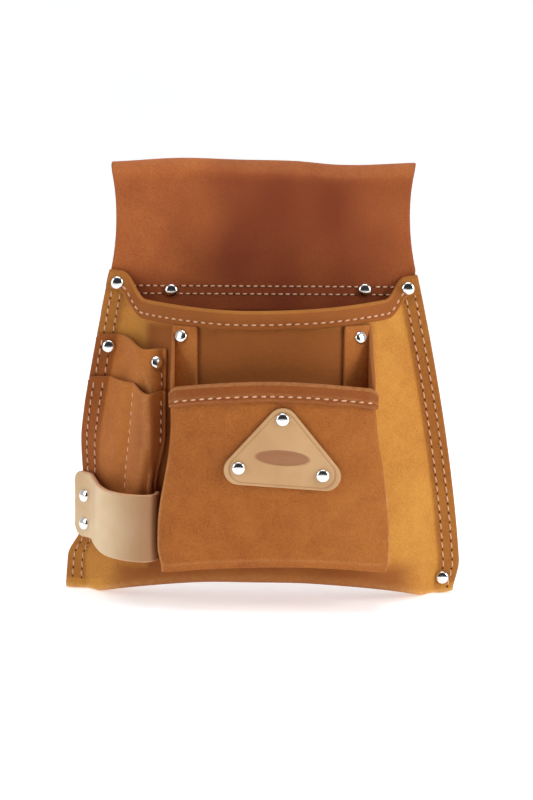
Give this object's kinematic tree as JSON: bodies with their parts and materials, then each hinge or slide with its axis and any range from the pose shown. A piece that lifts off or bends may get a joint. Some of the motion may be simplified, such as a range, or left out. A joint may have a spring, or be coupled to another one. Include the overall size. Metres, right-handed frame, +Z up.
{
  "type": "electrician tool pouch",
  "caption": "Leather electrician's pouch with a belt tunnel, an open main pocket, a boxed front pocket, layered tool pockets, a hammer strap and a riveted badge.",
  "frame": {"origin": "middle of the whole pouch's footprint, on the surface it stands on", "axes": "+Z up, -Y to the front where the pockets open, +X to the right seen from the front"},
  "size_m": [0.2758, 0.093, 0.3018],
  "materials": {
    "suede": "oil-tanned suede",
    "dark_suede": "oil-tanned suede, redder",
    "strap_leather": "smooth vegetable-tanned",
    "badge_leather": "smooth vegetable-tanned",
    "nickel": "polished",
    "waxed_thread": "waxed thread"
  },
  "bodies": {
    "root": {"back_panel": "dark_suede", "front_panel": "suede", "belt_tunnel": "dark_suede", "upper_tool_pocket": "suede", "lower_tool_pocket": "suede", "front_pocket": "suede", "badge": "badge_leather", "tool_strap": "strap_leather", "rivet_tunnel_left": "nickel", "rivet_tunnel_right": "nickel", "rivet_corner_left": "nickel", "rivet_corner_right": "nickel", "rivet_flange_left": "nickel", "rivet_flange_right": "nickel", "rivet_tool_pocket_left": "nickel", "rivet_tool_pocket_right": "nickel", "rivet_strap_upper": "nickel", "rivet_strap_lower": "nickel", "rivet_foot_right": "nickel", "rivet_badge_1": "nickel", "rivet_badge_2": "nickel", "rivet_badge_3": "nickel", "thread_left_outer_top": "waxed_thread", "thread_left_outer": "waxed_thread", "thread_left_inner": "waxed_thread", "thread_left_foot": "waxed_thread", "thread_right_outer": "waxed_thread", "thread_right_inner": "waxed_thread", "thread_tunnel_upper": "waxed_thread", "thread_tunnel_lower": "waxed_thread", "thread_rim_hem": "waxed_thread", "thread_pocket_hem": "waxed_thread", "thread_slot_divider": "waxed_thread", "thread_pocket_edge": "waxed_thread"}
  },
  "joints": []
}
